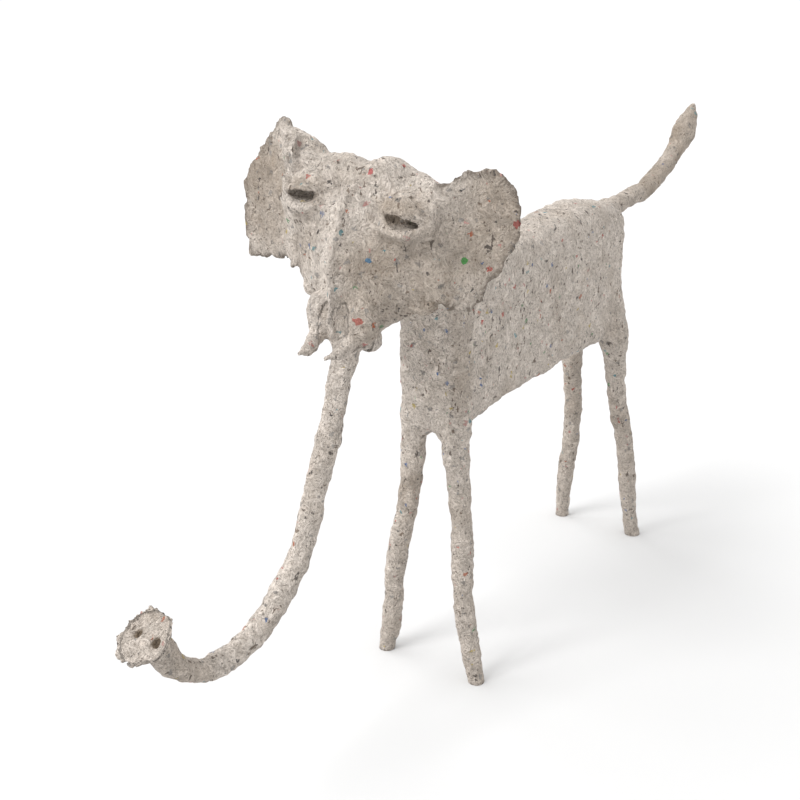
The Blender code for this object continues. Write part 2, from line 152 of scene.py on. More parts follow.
# Darker, browner pulp, partly its own tone and partly painted shade: middle, reach along each axis, and
# strength. Ears and cheeks first, brown in the pulp itself, with painted shade under the lower lids on the
# cheeks; then the chest's edge (painted shade from the head and ear) and the tail, the upper lids and the
# rolls of the eyes (painted shade under the lids), the legs and the trunk's curl.
STAIN_AND_SHADE_PLACES = (
    ((0.135, -0.285, 0.515), (0.060, 0.08, 0.070), 1.20),
    ((0.062, -0.330, 0.480), (0.052, 0.06, 0.070), 1.25),
    ((-0.150, -0.270, 0.540), (0.055, 0.08, 0.060), 1.20),
    ((-0.055, -0.340, 0.515), (0.022, 0.04, 0.022), 0.50),
    ((0.041, -0.202, 0.390), (0.013, 0.02, 0.090), 0.90),
    ((0, 0.400, 0.520), (0.060, 0.20, 0.140), 1.15),
    ((0.056, -0.335, 0.549), (0.029, 0.05, 0.0105), 1.90),
    ((0.055, -0.335, 0.539), (0.012, 0.03, 0.0060), 2.60),
    ((-0.053, -0.335, 0.561), (0.020, 0.05, 0.0090), 1.10),
    ((-0.040, -0.335, 0.549), (0.008, 0.03, 0.0060), 1.20),
    ((0, 0, 0.100), (0.150, 0.40, 0.190), 0.65),
    ((0, -0.600, 0.230), (0.050, 0.08, 0.060), 0.45),
)

# Directions are in degrees: azimuth to the animal's left of its face, and height above the level.
CAMERA_PLACE = (0.6317, -1.0232, 0.7125)
CAMERA_DIRECTION = (36.16, 19.89)
CAMERA_ROLL = math.radians(-1.20)
CAMERA_LENS, CAMERA_SENSOR = 48.84, 36
CAMERA_RANGE = (0.05, 200)

# Light: strength, direction, and spread in degrees. The floor is wide enough to have no edge in view.
AMBIENT_LIGHT = 1.04
KEY_LIGHT, KEY_DIRECTION, KEY_SPREAD = 1.6, (-20, 48), 24
FILL_LIGHT, FILL_DIRECTION, FILL_SPREAD = 1.2, (-80, 35), 60
FLOOR_SIZE, FLOOR_SHADE = 60, 0.655

# Colours of the pulp and of the paper in it, and of the shade painted into its crevices, pits and rims, as
# linear red, green, blue and alpha.
PULP_LIGHT = (0.75, 0.665, 0.59, 1)
PULP_CREVICE_SHADE = (0.48, 0.415, 0.355, 1)
PULP_PALE = (0.90, 0.82, 0.745, 1)
# Painted shade for the pits, and for the ears' rims together with their dark torn edge.
SHADE_AND_RIM_DIRT = (0.19, 0.155, 0.125, 1)
STAIN_AND_SHADE_BROWN = (0.34, 0.265, 0.195, 1)
SCRAP_GREY = (0.34, 0.33, 0.32, 1)
SCRAP_DARK = (0.10, 0.10, 0.10, 1)
SHRED_DARK = (0.050, 0.048, 0.048, 1)
SHRED_BROWN = (0.20, 0.15, 0.11, 1)
FLAKE_COLOURS = (
    (0.45, 0.085, 0.065, 1), (0.52, 0.22, 0.20, 1), (0.46, 0.14, 0.07, 1), (0.10, 0.27, 0.30, 1),
    (0.10, 0.27, 0.12, 1), (0.09, 0.16, 0.33, 1), (0.52, 0.40, 0.13, 1), (0.54, 0.30, 0.27, 1),
)


def smooth_path(points, count):
    """Sample a smooth curve that runs through a few chosen points."""
    points = np.asarray(points, float)
    padded = np.vstack([2 * points[0] - points[1], points, 2 * points[-1] - points[-2]])
    samples = []
    for step in np.linspace(0, len(points) - 1, count):
        i = min(int(step), len(points) - 2)
        t = step - i
        a, b, c, d = padded[i:i + 4]
        samples.append(0.5 * (2 * b + (c - a) * t + (2 * a - 5 * b + 4 * c - d) * t ** 2
                              + (3 * b - a - 3 * c + d) * t ** 3))
    return np.array(samples)


def profile(pairs, t):
    """Read a smooth curve of value against position, given as a few (position, value) pairs."""
    positions, values = np.array(pairs, float).T
    curve = smooth_path(np.column_stack([positions, values]), 80)
    return np.interp(t, curve[:, 0], curve[:, 1])


def torn_rim(count, seed, size):
    """Uneven offsets for the points around a torn rim."""
    rough = np.random.default_rng(seed).normal(size=count)
    return size * (rough + np.roll(rough, 1)) / 2


def add_loft(bm, rings):
    """Skin a row of rings that have the same number of points, and close both ends."""
    rows = [[bm.verts.new(point) for point in ring] for ring in rings]
    for low, high in zip(rows, rows[1:]):
        for i, corner in enumerate(low):
            j = (i + 1) % len(low)
            bm.faces.new((corner, low[j], high[j], high[i]))
    for row in (rows[0], rows[-1]):
        middle = bm.verts.new(sum((vertex.co for vertex in row), Vector()) / len(row))
        for i, corner in enumerate(row):
            bm.faces.new((corner, row[(i + 1) % len(row)], middle))


def turns(count):
    return [2 * math.pi * k / count for k in range(count)]


def add_tube(bm, path, radii, sides=24):
    """Skin a round limb along a path."""
    path = np.asarray(path, float)
    tangents = np.gradient(path, axis=0)
    rings = []
    for point, tangent, radius in zip(path, tangents, radii):
        along = Vector(tangent).normalized()
        side = (Vector((1, 0, 0)) - along * along.x).normalized()
        other = along.cross(side)
        rings.append([Vector(point) + (side * math.cos(a) + other * math.sin(a)) * radius
                      for a in turns(sides)])
    add_loft(bm, rings)


def add_ellipsoid(bm, centre, radii):
    """Add one rounded lump of pulp."""
    placing = Matrix.Translation(centre) @ Matrix.Diagonal((*radii, 1))
    bmesh.ops.create_uvsphere(bm, u_segments=24, v_segments=14, radius=1, matrix=placing)


def knobs(t, seed, depth=0.09):
    """Uneven thickness of a limb wrapped by hand, as a factor on its radius."""
    waves = ((3.1, 0.45), (6.7, 0.35), (12.3, 0.20))
    return 1 + depth * sum(share * math.sin(2 * math.pi * rate * t + 1.7 * seed * rate)
                           for rate, share in waves)


def body_front():
    return -0.517 * BODY_LENGTH


def add_body(bm):
    """Slab body: flat chest, rounded corners, a slightly raised rump and a belly that sags at the chest."""
    back = ((0, 0.985), (0.3, 0.985), (0.6, 1.01), (0.8, 1.05), (0.92, 1.01), (1, 0.93))
    belly = ((0, -0.115), (0.05, -0.11), (0.10, -0.085), (0.2, -0.05), (0.6, -0.025), (0.85, -0.03),
             (1, -0.05))
    width = ((0, 1.13), (0.3, 1.04), (0.7, 1.05), (0.9, 1.0), (1, 0.92))
    insets = [(BODY_CORNER * (1 - math.cos(a)), BODY_CORNER * (1 - math.sin(a)))
              for a in (0, math.pi / 6, math.pi / 3)]
    stations = insets + [(along, 0) for along in np.linspace(BODY_CORNER, BODY_LENGTH - BODY_CORNER, 14)]
    stations += [(BODY_LENGTH - along, inset) for along, inset in reversed(insets)]
    rings = []
    for along, inset in stations:
        t = along / BODY_LENGTH
        half = BODY_WIDTH / 2 * profile(width, t) - inset
        low = BELLY_HEIGHT + BODY_HEIGHT * profile(belly, t) + inset
        high = BELLY_HEIGHT + BODY_HEIGHT * profile(back, t) - inset
        ring = []
        for a in turns(40):
            x = math.copysign(abs(math.cos(a)) ** BODY_SQUARENESS, math.cos(a))
            z = math.copysign(abs(math.sin(a)) ** BODY_SQUARENESS, math.sin(a))
            ring.append((half * x, body_front() + along, (low + high) / 2 + (high - low) / 2 * z))
        rings.append(ring)
    add_loft(bm, rings)


def add_leg(bm, side, front):
    """One leg, from inside the body's corner down past the floor, where it is cut flat."""
    seed = 1 + (side > 0) + 2 * (not front)
    top_radius = FRONT_LEG_TOP if front else HIND_LEG_TOP
    inward = 1 if front else -1
    end = body_front() if front else body_front() + BODY_LENGTH
    hip_x = FRONT_HIP if front else HIND_HIP
    foot_x = (FRONT_STANCE if front else HIND_STANCE) / 2
    hip_y = end + inward * LEG_INSET
    lean = FRONT_LEAN if front else HIND_LEAN
    thickness = ((-0.1, 0.86), (0, 0.86), (0.3, 1.0), (0.6, 1.03), (0.78, 1.1), (0.9, 1.25),
                 (1, top_radius / LEG_RADIUS), (1.3, 0.6))
    path, radii = [], []
    for t in np.linspace(-0.04, 1.3, 36):
        radius = LEG_RADIUS * profile(thickness, t)
        bow = 0.34 * LEG_RADIUS * math.sin(math.pi * min(t, 1))
        sway = 0.135 * LEG_RADIUS * math.sin(9.4 * t + seed)
        x = side * (foot_x + (hip_x - foot_x) * t - bow) + sway
        y = hip_y - inward * (lean * (1 - t) - abs(radius - LEG_RADIUS)) + sway
        path.append((x, y, t * BELLY_HEIGHT))
        radii.append(radius * knobs(t, seed))
    add_tube(bm, path, radii)


def add_leg_root(bm, side):
    """Pulp pressed in where a front leg meets its neighbour and the belly."""
    root_y = body_front() + LEG_INSET
    fork = Vector((side * 0.0118, root_y, BELLY_HEIGHT - 0.008))
    belly = Vector((side * FRONT_HIP, root_y + 0.011, BELLY_HEIGHT - 0.001))
    add_ellipsoid(bm, fork, (0.0105, 0.0105, 0.0210))
    add_ellipsoid(bm, belly, (0.012, 0.015, 0.012))


def head_place(x, back, height):
    """A point on the head at x, from shares of its depth behind its front, and of its height."""
    return x, body_front() - MUZZLE_OVERHANG + back * HEAD_DEPTH, HEAD_BASE + height * HEAD_HEIGHT


def head_ring(height):
    """One level slice of the head: ridge in front, flat face planes, cheeks, and a back above the neck."""
    ridge = ((0, 0.10), (0.12, 0.03), (0.29, 0.0), (0.55, 0.03), (0.71, 0.10), (0.81, 0.15), (0.88, 0.225),
             (0.95, 0.33), (1, 0.46))
    cheek_width = ((0, 0.10), (0.06, 0.16), (0.12, 0.28), (0.18, 0.46), (0.23, 0.62), (0.29, 0.80),
                   (0.34, 0.90), (0.55, 0.93), (0.79, 0.98), (0.88, 0.98), (0.95, 0.87), (1, 0.62))
    cheek_depth = ((0, 0.20), (0.12, 0.29), (0.2, 0.32), (0.29, 0.36), (0.38, 0.34), (0.55, 0.30),
                   (0.79, 0.245), (0.88, 0.28), (0.95, 0.34), (1, 0.42))
    back_depth = ((0, 0.30), (0.12, 0.37), (0.2, 0.46), (0.29, 0.62), (0.38, 0.85), (0.55, 0.98), (0.7, 0.90),
                  (0.82, 0.74), (0.91, 0.61), (1, 0.53))
    half = HEAD_WIDTH / 2
    tip = profile(ridge, height)
    cheek = Vector((half * profile(cheek_width, height), profile(cheek_depth, height)))
    back = profile(back_depth, height)
    flank = Vector((cheek.x * 0.93, cheek.y + 0.45 * (back - cheek.y)))
    pinch = RIDGE_PINCH / HEAD_DEPTH
    face = []
    for t in np.linspace(0, 1, 9):
        sunk = tip + (cheek.y - tip) * t + pinch * (1 - math.exp(-9 * t)) * (1 - t)
        face.append((cheek.x * t, sunk))
    turn = smooth_path([face[-2], cheek, flank, (flank.x * 0.66, back), (0, back)], 17)[5:]
    half_outline = face + [tuple(point) for point in turn]
    outline = half_outline + [(-x, depth) for x, depth in reversed(half_outline[1:-1])]
    return [head_place(x, depth, height) for x, depth in outline]


def add_head_lump(bm, centre, wide, deep, high):
    """A rounded lump, with radii as shares of the head's width, depth and height."""
    add_ellipsoid(bm, centre, (wide * HEAD_WIDTH, deep * HEAD_DEPTH, high * HEAD_HEIGHT))


def add_head(bm):
    """The wedge, with domes on its crown, a muzzle lump over each tusk, jowls and a chin."""
    add_loft(bm, [head_ring(height) for height in np.linspace(0, 1, 25)])
    for across, half, height in ((0.10, 0.16, 0.93), (-0.20, 0.24, 0.93), (-0.03, 0.2, 0.90)):
        add_head_lump(bm, head_place(across * HEAD_WIDTH, 0.44, height), half, 0.16, 0.145)
    for side in (-1, 1):
        add_head_lump(bm, head_place(side * 0.54 * TUSK_SPACING, 0.11, 0.21), 0.088, 0.095, 0.15)
        add_head_lump(bm, head_place(side * 0.35 * HEAD_WIDTH, 0.36, 0.29), 0.08, 0.08, 0.07)
    add_ellipsoid(bm, head_place(0.02 * HEAD_WIDTH, 0.33, 0.03), (CHIN_RADIUS, CHIN_RADIUS, CHIN_RADIUS))


def add_ridge(bm):
    """Thin roll of pulp along the head's ridge, from the brow into the trunk."""
    shares = ((0.30, 0.94), (0.17, 0.86), (0.095, 0.72), (0.03, 0.55), (0.002, 0.30), (0.02, 0.14),
              (0.06, 0.04))
    path = smooth_path([head_place(0, back, height) for back, height in shares], 60)
    path[:, 0] += 0.0008 * np.sin(np.arange(60) * 0.7)
    add_tube(bm, path, [0.0026 * knobs(t, 2, 0.25) for t in np.linspace(0, 1, 60)], sides=10)


def add_neck(bm):
    """Short thick neck between the back of the head and the top of the chest."""
    shares = ((-0.41, 0.32), (-0.125, 0.047), (0.22, -0.215), (0.56, -0.29))
    path = smooth_path([(0, body_front() + back * HEAD_DEPTH, BELLY_HEIGHT + (1 + rise) * BODY_HEIGHT)
                        for back, rise in shares], 12)
    add_tube(bm, path, np.linspace(1, 0.69, 12) * NECK_RADIUS, sides=28)


def eye_place(side, forward=0.0, up=0.0):
    """A point at an eye, moved by shares of its width; the right eye sits higher and further back."""
    across, back, height = (0.5, 0.150, 0.765) if side > 0 else (-0.45, 0.185, 0.835)
    centre = Vector(head_place(across * EYE_SPACING, back, height))
    return centre + Vector((0, -forward, up)) * EYE_WIDTH


def add_eyelids(bm, side):
    """A bulge for the whole eye, with a lid above its slot and another below it."""
    add_ellipsoid(bm, eye_place(side, -0.32, 0.075), Vector((0.71, 0.375, 0.55)) * EYE_WIDTH)
    add_ellipsoid(bm, eye_place(side, -0.15, 0.225), Vector((0.58, 0.275, 0.25)) * EYE_WIDTH)
    add_ellipsoid(bm, eye_place(side, -0.10, -0.225), Vector((0.43, 0.225, 0.15)) * EYE_WIDTH)


def add_lid_lips(bm, side):
    """The upper lid's edge, which hangs over the slot, and the lumpy edge of the lower lid."""
    upper = ((-0.62, -0.20, 0.06), (-0.32, 0.02, 0.18), (0.05, 0.07, 0.22), (0.38, 0.01, 0.17),
             (0.68, -0.20, 0.02))
    lower = ((-0.58, -0.18, -0.08), (-0.30, 0.00, -0.22), (0.05, 0.05, -0.27), (0.38, -0.01, -0.24),
             (0.64, -0.20, -0.10))
    wide, shift, lift = (0.90, -0.08, 0.07) if side > 0 else (0.72, -0.09, 0.08)
    for shares, radius, lumpy in ((upper, 0.066, 0.06), (lower, 0.100, 0.30)):
        points = smooth_path(shares, 34)
        for k, (out, forward, up) in enumerate(points):
            centre = eye_place(side, forward, up + lift)
            centre.x += side * (wide * out + shift) * EYE_WIDTH
            size = radius * EYE_WIDTH * (1 + lumpy * math.sin(2.1 * k + side))
            add_crumb(bm, centre, Vector((1.5, 1.1, 1.0)) * size)


def add_eye_slot(bm, side):
    """A deep slot, thin at the nose's end and highest over the eyeball; the right one is shorter."""
    left = ((-0.68, 0.12, 0.05), (-0.56, 0.12, 0.14), (-0.40, 0.13, 0.18), (-0.30, 0.09, 0.46),
            (-0.12, 0.07, 0.64), (0.06, 0.06, 0.60), (0.22, 0.03, 0.46), (0.37, 0.00, 0.30),
            (0.50, -0.02, 0.06))
    right = ((-0.54, 0.13, 0.10), (-0.42, 0.08, 0.52), (-0.20, 0.09, 0.64), (0.02, 0.10, 0.58),
             (0.20, 0.11, 0.46), (0.36, 0.14, 0.12))
    rings = []
    for out, up, opening in left if side > 0 else right:
        middle = eye_place(side, -0.03, up) + Vector((side * out * EYE_WIDTH, 0, 0))
        rings.append([middle + Vector((0, 0.52 * EYE_WIDTH * math.cos(a),
                                       opening * EYE_SLOT * math.sin(a))) for a in turns(20)])
    add_loft(bm, rings)


def add_eyeball(bm, side):
    """A roll of pulp set back under the upper lid; the right one sits at the nose's end of its slot."""
    out, up, shape = (-0.15, 0.095, (1.28, 1.0, 0.72)) if side > 0 else (-0.40, 0.05, (0.70, 1.0, 0.72))
    centre = eye_place(side, -0.30, up) + Vector((side * out * EYE_WIDTH, 0, 0))
    add_ellipsoid(bm, centre, Vector(shape) * EYEBALL_RADIUS)


def ear_root(side):
    """Where an ear leaves the head, beside the eye, and the directions out along it, up it and forward."""
    origin = Vector(head_place(side * HEAD_WIDTH * 0.478, 0.31, 0.55))
    out = Vector((side * math.cos(EAR_SWEEP), math.sin(EAR_SWEEP), 0))
    level_back = Vector((-side * math.sin(EAR_SWEEP), math.cos(EAR_SWEEP), 0))
    up = Vector((0, 0, math.cos(EAR_LEAN))) + level_back * math.sin(EAR_LEAN)
    forward = Vector((0, 0, math.sin(EAR_LEAN))) - level_back * math.cos(EAR_LEAN)
    return origin, out, up, forward


def ear_outline(side):
    """Rim of an ear, from (out, up) shares of its reach: the left ear has two lobes, the right a peak."""
    left = ((-0.11, -0.28), (0.02, -0.36), (0.21, -0.43), (0.33, -0.37), (0.40, -0.20), (0.51, -0.07),
            (0.64, 0.17), (0.67, 0.32), (0.62, 0.54), (0.50, 0.71), (0.33, 0.73), (0.15, 0.69),
            (-0.09, 0.54), (-0.15, 0.09))
    right = ((-0.11, -0.19), (0.38, -0.22), (0.67, -0.26), (0.93, -0.25), (0.98, 0.05), (0.97, 0.34),
             (0.94, 0.52), (0.82, 0.73), (0.63, 0.95), (0.44, 1.07), (0.28, 1.00), (0.09, 0.79),
             (-0.11, 0.56), (-0.15, 0.19))
    points = left if side > 0 else right
    closed = points[-1:] + points + points[:2]
    return EAR_REACH * smooth_path(closed, 12 * (len(points) + 2) + 1)[12:-12 * 2]


def ear_curl(across):
    """How far an ear's sheet lies in front of its root, at a distance out along it."""
    return EAR_CUP * ((max(across, 0) / EAR_CUP_MIDDLE - 1) ** 2 - 1)


def add_ear(bm, side):
    """A cupped sheet: rings of points from its middle to its rim, on the front and on the back."""
    origin, out, up, forward = ear_root(side)
    outline = ear_outline(side)
    middle = outline.mean(axis=0)
    tears = torn_rim(len(outline), 11 + side, RIM_TEAR)
    rings = []
    shares = [s / 8 for s in range(1, 9)]
    for face, fractions in ((1, shares), (-1, reversed(shares))):
        for share in fractions:
            rounding = math.sqrt(1 - (share * 0.96) ** 6)
            ring = []
            for k, rim in enumerate(outline):
                ripple = 1 + 0.02 * share * math.sin(0.45 * k + side) + 0.03 * (face > 0) * (share == 1)
                ripple += tears[k] * share ** 14 / np.linalg.norm(rim - middle)
                across, rise = middle + (rim - middle) * share * ripple
                lift = ear_curl(across) + face * EAR_THICKNESS / 2 * rounding
                lift += 0.6 * tears[k - 5] * share ** 14
                ring.append(origin + out * across + up * rise + forward * lift)
            rings.append(ring)
    add_loft(bm, rings)


def add_ear_web(bm, side):
    """Pulp that ties an ear's upper edge to the crown; on the right it climbs to the ear's peak."""
    left = ((0.30, 0.90), (0.40, 0.85), (0.46, 0.80), (0.52, 0.74))
    right = ((0.26, 0.98), (0.36, 1.02), (0.41, 1.09), (0.50, 1.145), (0.62, 1.185))
    edge = left if side > 0 else right
    for drop in (0, 0.10, 0.20, 0.29):
        points = []
        for across, height in edge:
            back = 0.49 - 0.045 * across - 0.3 * drop * (0.62 - across)
            points.append(head_place(side * across * HEAD_WIDTH, back, height - drop))
        add_tube(bm, smooth_path(points, 8), np.linspace(1.5, 0.75, 8) * EAR_THICKNESS)
    for across, height in edge[1:4]:
        hollow = head_place(side * across * HEAD_WIDTH, 0.40, height - 0.09)
        add_head_lump(bm, hollow, 0.06, 0.085, 0.075)
    across, height = edge[2]
    add_head_lump(bm, head_place(side * across * HEAD_WIDTH, 0.40, height - 0.14), 0.11, 0.09, 0.13)


def trunk_path():
    shares = ((0.00, 0.00), (0.022, 0.103), (0.070, 0.248), (0.126, 0.385), (0.215, 0.573), (0.285, 0.733),
              (0.381, 0.859), (0.563, 0.985), (0.763, 1.00), (0.896, 0.924), (0.975, 0.80))
    _, root_y, root_z = head_place(0, 0.1625, 0.18)
    points = [(0, root_y - TRUNK_REACH * reach, root_z - TRUNK_DROP * drop) for reach, drop in shares]
    return smooth_path(points, 60)


def add_trunk(bm):
    path = trunk_path()
    thickness = ((0, 1.9), (0.06, 1.45), (0.14, 1.08), (0.3, 1.0), (0.9, 1.0), (1, 1.1))
    steps = np.linspace(0, 1, len(path))
    add_tube(bm, path, [TRUNK_RADIUS * profile(thickness, t) * knobs(t, 5) for t in steps])


def trunk_end():
    """Centre of the flared end's face, and the direction it looks in."""
    axis = Vector((0, -math.cos(TRUNK_END_TILT), math.sin(TRUNK_END_TILT)))
    return Vector(trunk_path()[-1]) + axis * TRUNK_END_RADIUS * 0.62, axis


def add_trunk_end(bm):
    """Flared, dished end of the trunk, like a small saucer."""
    face, axis = trunk_end()
    side = Vector((1, 0, 0))
    other = axis.cross(side)
    outline = ((0.45, -0.60), (0.50, -0.42), (0.66, -0.24), (0.88, -0.10), (1.0, 0.0), (0.985, 0.045),
               (0.90, 0.0), (0.60, -0.07), (0.30, -0.10))
    rings = []
    for share, along in outline:
        ring = []
        for a, tear in zip(turns(72), torn_rim(72, 3, 0.022)):
            ripple = 0.05 * share ** 2 * math.sin(3 * a + 1) * math.sin(5 * a) + tear * share ** 6
            radius = TRUNK_END_RADIUS * share * (1 + ripple)
            lift = 0.075 * share ** 3 * math.sin(4 * a) + tear * share ** 6
            ring.append(face + axis * (along + lift) * TRUNK_END_RADIUS
                        + side * (radius * math.cos(a)) + other * (radius * math.sin(a)))
        rings.append(ring)
    add_loft(bm, rings)


def add_nostril(bm, side):
    """A hole poked into the dish, narrowing down the trunk."""
    face, axis = trunk_end()
    shares = ((1.08, 0.6), (1.03, 0), (0.96, -0.65), (0.86, -1.25))
    path = [face + Vector((side * NOSTRIL_SPACING / 2 * out, 0, 0)) + axis * NOSTRIL_DEPTH * along
            for out, along in shares]
    add_tube(bm, path, [NOSTRIL_RADIUS * share for share in (1.95, 1.6, 1.25, 0.75)], sides=14)


def nostril_shade_places():
    """Painted shade down the nostrils, where the pulp lies in the dark: middle, reach and strength."""
    face, axis = trunk_end()
    deep = face - axis * NOSTRIL_DEPTH * 0.85
    return [(deep + Vector((side * NOSTRIL_SPACING * 0.48, 0, 0)), (0.006, 0.006, 0.006), 3.5)
            for side in (-1, 1)]


def add_tusk(bm, side):
    """Short tusk beside the trunk's root, curving down and then forward."""
    root = Vector(head_place(side * TUSK_SPACING / 2, 0.0875, 0.23))
    bends = ((0, 0, 0), (-0.02, -0.10, -0.30), (-0.07, -0.42, -0.52), (-0.14, -0.84, -0.54))
    points = [root + TUSK_LENGTH * Vector((side * x, y, z)) for x, y, z in bends]
    path = smooth_path(points, 14)
    thickness = ((0, 1.15), (0.35, 1.0), (0.7, 0.72), (1, 0.25))
    add_tube(bm, path, [TUSK_RADIUS * profile(thickness, t) for t in np.linspace(0, 1, 14)])


def tail_path():
    shares = ((-0.12, -0.12), (0, -0.02), (0.13, 0.0), (0.24, 0.03), (0.45, 0.08), (0.655, 0.277),
              (0.80, 0.46), (0.90, 0.69), (1.0, 1.0))
    root_y = body_front() + 0.99 * BODY_LENGTH
    root_z = BELLY_HEIGHT + BODY_HEIGHT * 0.92
    points = [(0, root_y + TAIL_REACH * back, root_z + TAIL_RISE * rise) for back, rise in shares]
    return smooth_path(points, 50)


def add_tail(bm):
    """Tail raised behind the rump, with a leaf-shaped tuft."""
    path = tail_path()
    thickness = ((0, 1.3), (0.15, 1.05), (0.3, 0.95), (0.6, 1.0), (0.72, 0.95), (0.85, 1.28), (0.93, 1.0),
                 (1, 0.18))
    steps = np.linspace(0, 1, len(path))
    add_tube(bm, path, [TAIL_RADIUS * profile(thickness, t) * knobs(t, 8, 0.05) for t in steps])


def add_crumb(bm, centre, radii):
    """A coarse little ball of pulp, which the remesh rounds off."""
    rings = []
    for level in (-0.8, 0, 0.8):
        across = math.sqrt(1 - level ** 2)
        rings.append([centre + Vector((across * math.cos(a), across * math.sin(a), level)) * radii
                      for a in turns(7)])
    add_loft(bm, rings)


def ear_rim(side):
    """Points along an ear's free rim, from the head out and round to the head again."""
    origin, out, up, forward = ear_root(side)
    return [origin + out * across + up * rise + forward * ear_curl(across)
            for across, rise in ear_outline(side) if across > 0.02 * EAR_REACH]


def add_rim_crumbs(bm, side):
    """Crumbs of pulp that cling to an ear's torn rim, every few millimetres."""
    rough = np.random.default_rng(31 + side)
    for place in ear_rim(side):
        if rough.random() < RIM_CRUMB_SHARE:
            radii = Vector(rough.uniform(*RIM_CRUMB_RADII, 3))
            add_crumb(bm, place + Vector(rough.uniform(-RIM_CRUMB_STRAY, RIM_CRUMB_STRAY, 3)), radii)


def each_side(*builders):
    """List every builder twice, for the right side and then for the left."""
    return [(build, side) for build in builders for side in (-1, 1)]


def add_object(name, data):
    made = bpy.data.objects.new(name, data)
    bpy.context.scene.collection.objects.link(made)
    return made


def object_from(name, *builders):
    """Run builders, each a function with its arguments, into one mesh object."""
    bm = bmesh.new()
    for build, *arguments in builders:
        build(bm, *arguments)
    bmesh.ops.recalc_face_normals(bm, faces=bm.faces[:])
    mesh = bpy.data.meshes.new(name)
    bm.to_mesh(mesh)
    bm.free()
    return add_object(name, mesh)


def apply_modifiers(target):
    """Replace an object's mesh by what its modifiers make of it."""
    bpy.context.view_layer.update()
    result = bpy.data.meshes.new_from_object(target.evaluated_get(bpy.context.evaluated_depsgraph_get()))
    target.modifiers.clear()
    target.data = result


def reshape(target, kind, **settings):
    """Give an object one modifier with its settings, and apply it."""
    modifier = target.modifiers.new("reshape", kind)
    for name, value in settings.items():
        setattr(modifier, name, value)
    apply_modifiers(target)


def remesh(target, voxel):
    reshape(target, "REMESH", mode="VOXEL", voxel_size=voxel)


def soften(target, passes):
    reshape(target, "SMOOTH", factor=0.5, iterations=passes)


def cut(target, cutter):
    """Take one object's shape out of another, and drop the cutter."""
    reshape(target, "BOOLEAN", operation="DIFFERENCE", object=cutter)
    bpy.data.objects.remove(cutter)


def join_skin(target, other):
    """Add another object's skin to the target's mesh."""
    bm = bmesh.new()
    bm.from_mesh(target.data)
    bm.from_mesh(other.data)
    bm.to_mesh(target.data)
    bm.free()
    bpy.data.objects.remove(other)


def keep_outer_skin(target):
    """Drop specks and sealed inner voids, so that only the figure's own skin is left."""
    bm = bmesh.new()
    bm.from_mesh(target.data)
    unseen = set(bm.verts)
    skins = []
    while unseen:
        skin, edge = set(), [unseen.pop()]
        while edge:
            vertex = edge.pop()
            skin.add(vertex)
            near = {link.other_vert(vertex) for link in vertex.link_edges} & unseen
            unseen -= near
            edge.extend(near)
        skins.append(skin)
    largest = max(skins, key=len)
    bmesh.ops.delete(bm, geom=[vertex for vertex in bm.verts if vertex not in largest], context="VERTS")
    bm.to_mesh(target.data)
    bm.free()


def read_points(mesh):
    points = np.empty(3 * len(mesh.vertices))
    mesh.vertices.foreach_get("co", points)
    return points.reshape(-1, 3)


def write_points(mesh, points):
    mesh.vertices.foreach_set("co", points.ravel())
    mesh.update()


def lay_on_skin(target, places):
    """Drop a line of (x, z) places onto the skin from the front, as one smooth path."""
    tree = BVHTree.FromPolygons([vertex.co for vertex in target.data.vertices],
                                [face.vertices[:] for face in target.data.polygons])
    x_and_z = smooth_path(places, 12 * len(places))
    hits = [tree.ray_cast(Vector((x, -1, z)), Vector((0, 1, 0)))[0] for x, z in x_and_z]
    return np.array([hit for hit in hits if hit])


def eye_line(side, *shares):
    """A line beside an eye, from shares of its width outwards and up."""
    middle = eye_place(side)
    return [(middle.x + side * out * EYE_WIDTH, middle.z + up * EYE_WIDTH) for out, up in shares]


def head_line(*shares):
    """A line on the head's front, from shares of its width and height."""
    return [(across * HEAD_WIDTH, HEAD_BASE + height * HEAD_HEIGHT) for across, height in shares]


def skin_lines():
    """Every roll and fold of the face, as (places, reach, height); a fold has a negative height."""
    return (
        (eye_line(1, (-0.89, 0.04), (-0.83, 0.33), (-0.58, 0.50), (-0.08, 0.66), (0.40, 0.47), (0.62, 0.18)),
         0.0024, -0.0034),
        (eye_line(1, (-0.76, 0.12), (-0.68, 0.34), (-0.36, 0.50)), 0.0020, 0.0026),
        (eye_line(1, (0.30, 0.26), (0.58, 0.08), (0.80, -0.28), (0.98, -0.66)), 0.0018, 0.0030),
        (eye_line(1, (-0.52, -0.34), (-0.10, -0.46), (0.30, -0.50), (0.62, -0.42)), 0.0036, -0.0028),
        (eye_line(-1, (-0.45, -0.10), (-0.75, -0.14), (-1.05, -0.16)), 0.0022, 0.0020),
        (eye_line(-1, (0.30, 0.36), (-0.10, 0.62), (-0.60, 0.55), (-0.92, 0.20)), 0.0028, -0.0018),
        (eye_line(-1, (0.20, -0.38), (-0.30, -0.46), (-0.90, -0.46)), 0.0032, -0.0022),
        (head_line((0.24, 0.40), (0.30, 0.33), (0.357, 0.27), (0.41, 0.33)), 0.0026, -0.0030),
        (head_line((-0.485, 1.16), (-0.466, 1.09), (-0.432, 0.99), (-0.41, 0.93)), 0.0020, 0.0048),
        (head_line((-0.455, 1.12), (-0.435, 1.06), (-0.400, 0.98), (-0.38, 0.93)), 0.0028, -0.0030),
    )


def gaps_to_path(points, path, reach):
    """The points in a path's box, widened by a reach, and how far each lies from every place on the path."""
    close = ((points > path.min(axis=0) - reach) & (points < path.max(axis=0) + reach)).all(axis=1)
    near = np.flatnonzero(close)
    return near, np.linalg.norm(points[near, None] - path[None], axis=2)


